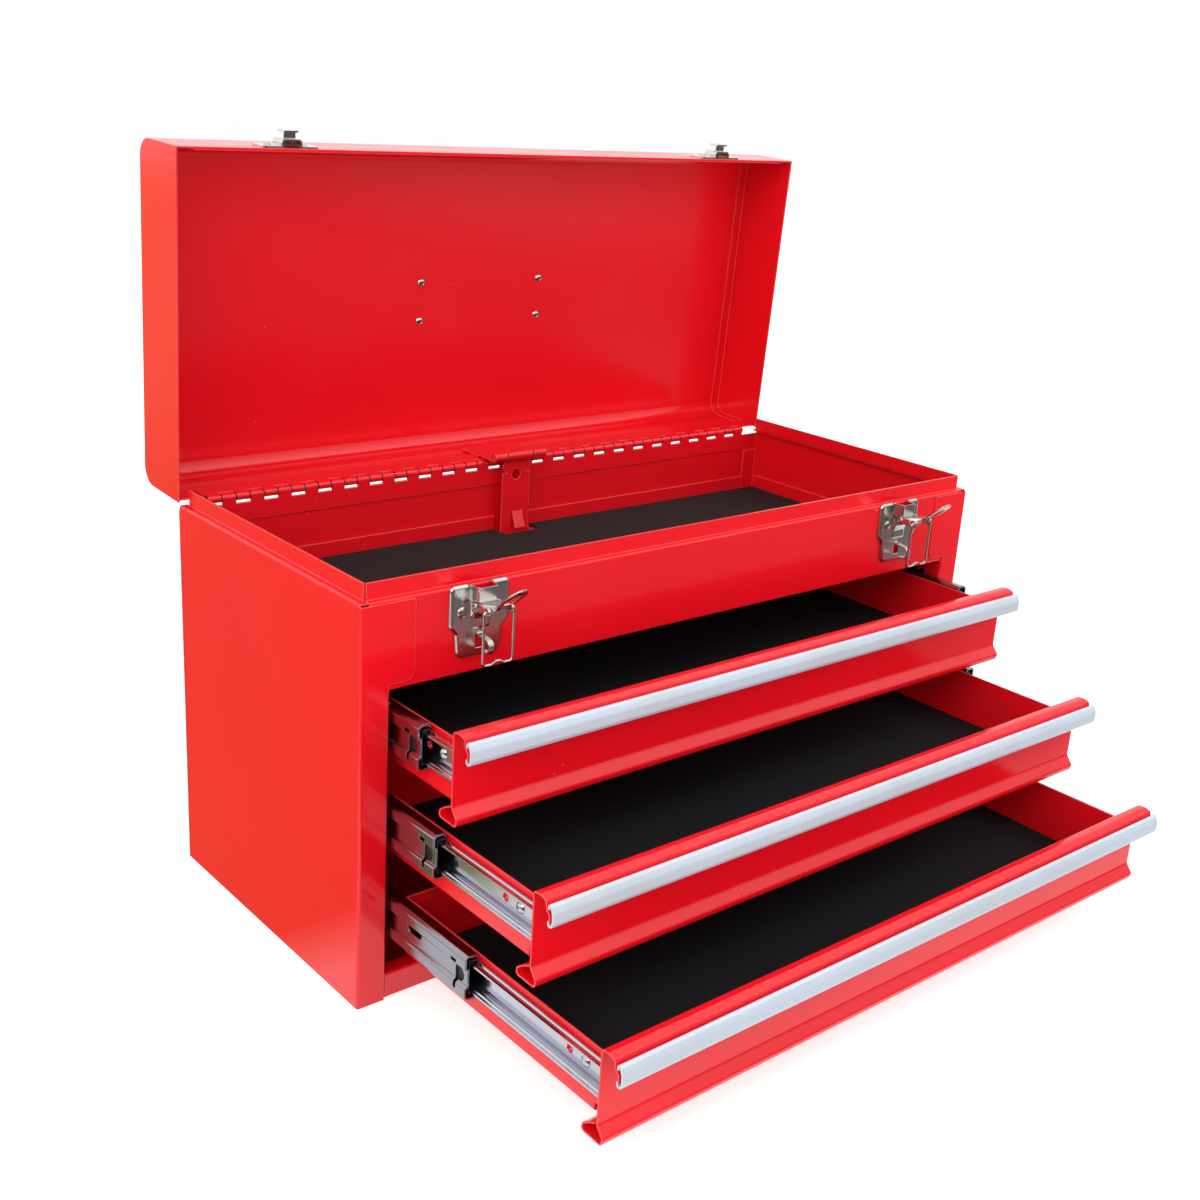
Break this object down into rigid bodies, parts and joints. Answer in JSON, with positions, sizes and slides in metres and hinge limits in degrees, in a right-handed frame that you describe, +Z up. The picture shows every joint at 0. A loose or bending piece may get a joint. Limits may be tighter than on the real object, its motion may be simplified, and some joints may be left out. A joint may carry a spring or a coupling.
{
  "type": "portable tool box with drawers",
  "caption": "Portable steel tool box with a lift-up lid, a top tray, ball-bearing drawers, draw latches and a carry handle.",
  "frame": {"origin": "middle of the cabinet's flat underside, midway between its sides and between its front and rear", "axes": "+X to the right seen from the front, +Y to the rear, +Z up; drawers open along -Y"},
  "size_m": [0.52, 0.4868, 0.48],
  "materials": {
    "red_paint": "glossy powder coat",
    "zinc_steel": "bright zinc plate",
    "nickel_steel": "worn nickel plate",
    "aluminium_trim": "satin anodised, finely ribbed",
    "foam_liner": "matt closed-cell foam",
    "black_plastic": "moulded, satin",
    "grip_rubber": "moulded, matt"
  },
  "bodies": {
    "cabinet": {"side_panel_left": "red_paint", "side_panel_right": "red_paint", "rear_panel": "red_paint", "bottom_panel": "red_paint", "front_tray_panel": "red_paint", "tray_floor": "red_paint", "tray_liner": "foam_liner", "hinge_leaf_body": "red_paint", "hinge_pin": "red_paint", "rear_uprights": "red_paint", "slide_outer_top": "zinc_steel", "slide_outer_middle": "zinc_steel", "slide_outer_bottom": "zinc_steel", "slide_rivets": "zinc_steel", "latch_plate_left": "nickel_steel", "latch_plate_right": "nickel_steel", "latch_rivets": "nickel_steel"},
    "lid": {"lid_shell": "red_paint", "lid_end_left": "red_paint", "lid_end_right": "red_paint", "hinge_leaf_lid": "red_paint", "strike_left": "nickel_steel", "strike_right": "nickel_steel", "strike_rivets": "nickel_steel", "handle_brackets": "zinc_steel", "handle_rivets": "zinc_steel", "lock_bracket": "red_paint", "lock_bracket_pin": "zinc_steel"},
    "lock_bar": {"lock_bar": "red_paint"},
    "handle": {"carry_handle": "zinc_steel", "handle_grip": "grip_rubber"},
    "lever_left": {"latch_lever_left": "nickel_steel"},
    "lever_right": {"latch_lever_right": "nickel_steel"},
    "bail_left": {"latch_bail_left": "nickel_steel"},
    "bail_right": {"latch_bail_right": "nickel_steel"},
    "drawer_top": {"drawer_body_top": "red_paint", "drawer_front_top": "red_paint", "drawer_trim_top": "aluminium_trim", "drawer_liner_top": "foam_liner", "slide_inner_top": "zinc_steel", "drawer_rivets_top": "zinc_steel"},
    "slide_top": {"slide_mid_top": "zinc_steel", "ball_cage_top": "black_plastic"},
    "drawer_middle": {"drawer_body_middle": "red_paint", "drawer_front_middle": "red_paint", "drawer_trim_middle": "aluminium_trim", "drawer_liner_middle": "foam_liner", "slide_inner_middle": "zinc_steel", "drawer_rivets_middle": "zinc_steel"},
    "slide_middle": {"slide_mid_middle": "zinc_steel", "ball_cage_middle": "black_plastic"},
    "drawer_bottom": {"drawer_body_bottom": "red_paint", "drawer_front_bottom": "red_paint", "drawer_trim_bottom": "aluminium_trim", "drawer_liner_bottom": "foam_liner", "slide_inner_bottom": "zinc_steel", "drawer_rivets_bottom": "zinc_steel"},
    "slide_bottom": {"slide_mid_bottom": "zinc_steel", "ball_cage_bottom": "black_plastic"}
  },
  "joints": [
    {"name": "lid_hinge", "type": "hinge", "parent": "cabinet", "child": "lid", "pos_m": [0, 0.11075, 0.2505], "axis": [1, 0, 0], "range_deg": [0, 87]},
    {"name": "lock_bar_pivot", "type": "hinge", "parent": "lid", "child": "lock_bar", "pos_m": [0, 0.0984, 0.2573], "axis": [1, 0, 0], "range_deg": [-87, 0]},
    {"name": "handle_pivot", "type": "hinge", "parent": "lid", "child": "handle", "pos_m": [0, 0.16193, 0.36308], "axis": [1, 0, 0], "range_deg": [0, 180]},
    {"name": "latch_lever_left_pivot", "type": "hinge", "parent": "cabinet", "child": "lever_left", "pos_m": [-0.1835, -0.118, 0.239], "axis": [1, 0, 0], "range_deg": [0, 111]},
    {"name": "latch_bail_left_pivot", "type": "hinge", "parent": "lever_left", "child": "bail_left", "pos_m": [-0.1835, -0.12999, 0.23996], "axis": [1, 0, 0], "range_deg": [-289.7, 0]},
    {"name": "latch_lever_right_pivot", "type": "hinge", "parent": "cabinet", "child": "lever_right", "pos_m": [0.1835, -0.118, 0.239], "axis": [1, 0, 0], "range_deg": [0, 111]},
    {"name": "latch_bail_right_pivot", "type": "hinge", "parent": "lever_right", "child": "bail_right", "pos_m": [0.1835, -0.12999, 0.23996], "axis": [1, 0, 0], "range_deg": [-289.7, 0]},
    {"name": "drawer_top_slide", "type": "slide", "parent": "cabinet", "child": "drawer_top", "axis": [0, -1, 0], "range_m": [-0.0695, 0.1355]},
    {"name": "slide_top_travel", "type": "slide", "parent": "cabinet", "child": "slide_top", "axis": [0, -1, 0], "range_m": [-0.0404, 0.0787]},
    {"name": "drawer_middle_slide", "type": "slide", "parent": "cabinet", "child": "drawer_middle", "axis": [0, -1, 0], "range_m": [-0.1433, 0.0617]},
    {"name": "slide_middle_travel", "type": "slide", "parent": "cabinet", "child": "slide_middle", "axis": [0, -1, 0], "range_m": [-0.0718, 0.0309]},
    {"name": "drawer_bottom_slide", "type": "slide", "parent": "cabinet", "child": "drawer_bottom", "axis": [0, -1, 0], "range_m": [-0.2022, 0.0028]},
    {"name": "slide_bottom_travel", "type": "slide", "parent": "cabinet", "child": "slide_bottom", "axis": [0, -1, 0], "range_m": [-0.1012, 0.0015]}
  ],
  "couplings": [
    {"joint": "lock_bar_pivot", "follows": "lid_hinge", "ratio": -1},
    {"joint": "latch_bail_left_pivot", "follows": "latch_lever_left_pivot", "ratio": -2.607},
    {"joint": "latch_bail_right_pivot", "follows": "latch_lever_right_pivot", "ratio": -2.607},
    {"joint": "slide_top_travel", "follows": "drawer_top_slide", "ratio": 0.58},
    {"joint": "slide_middle_travel", "follows": "drawer_middle_slide", "ratio": 0.5},
    {"joint": "slide_bottom_travel", "follows": "drawer_bottom_slide", "ratio": 0.5}
  ]
}
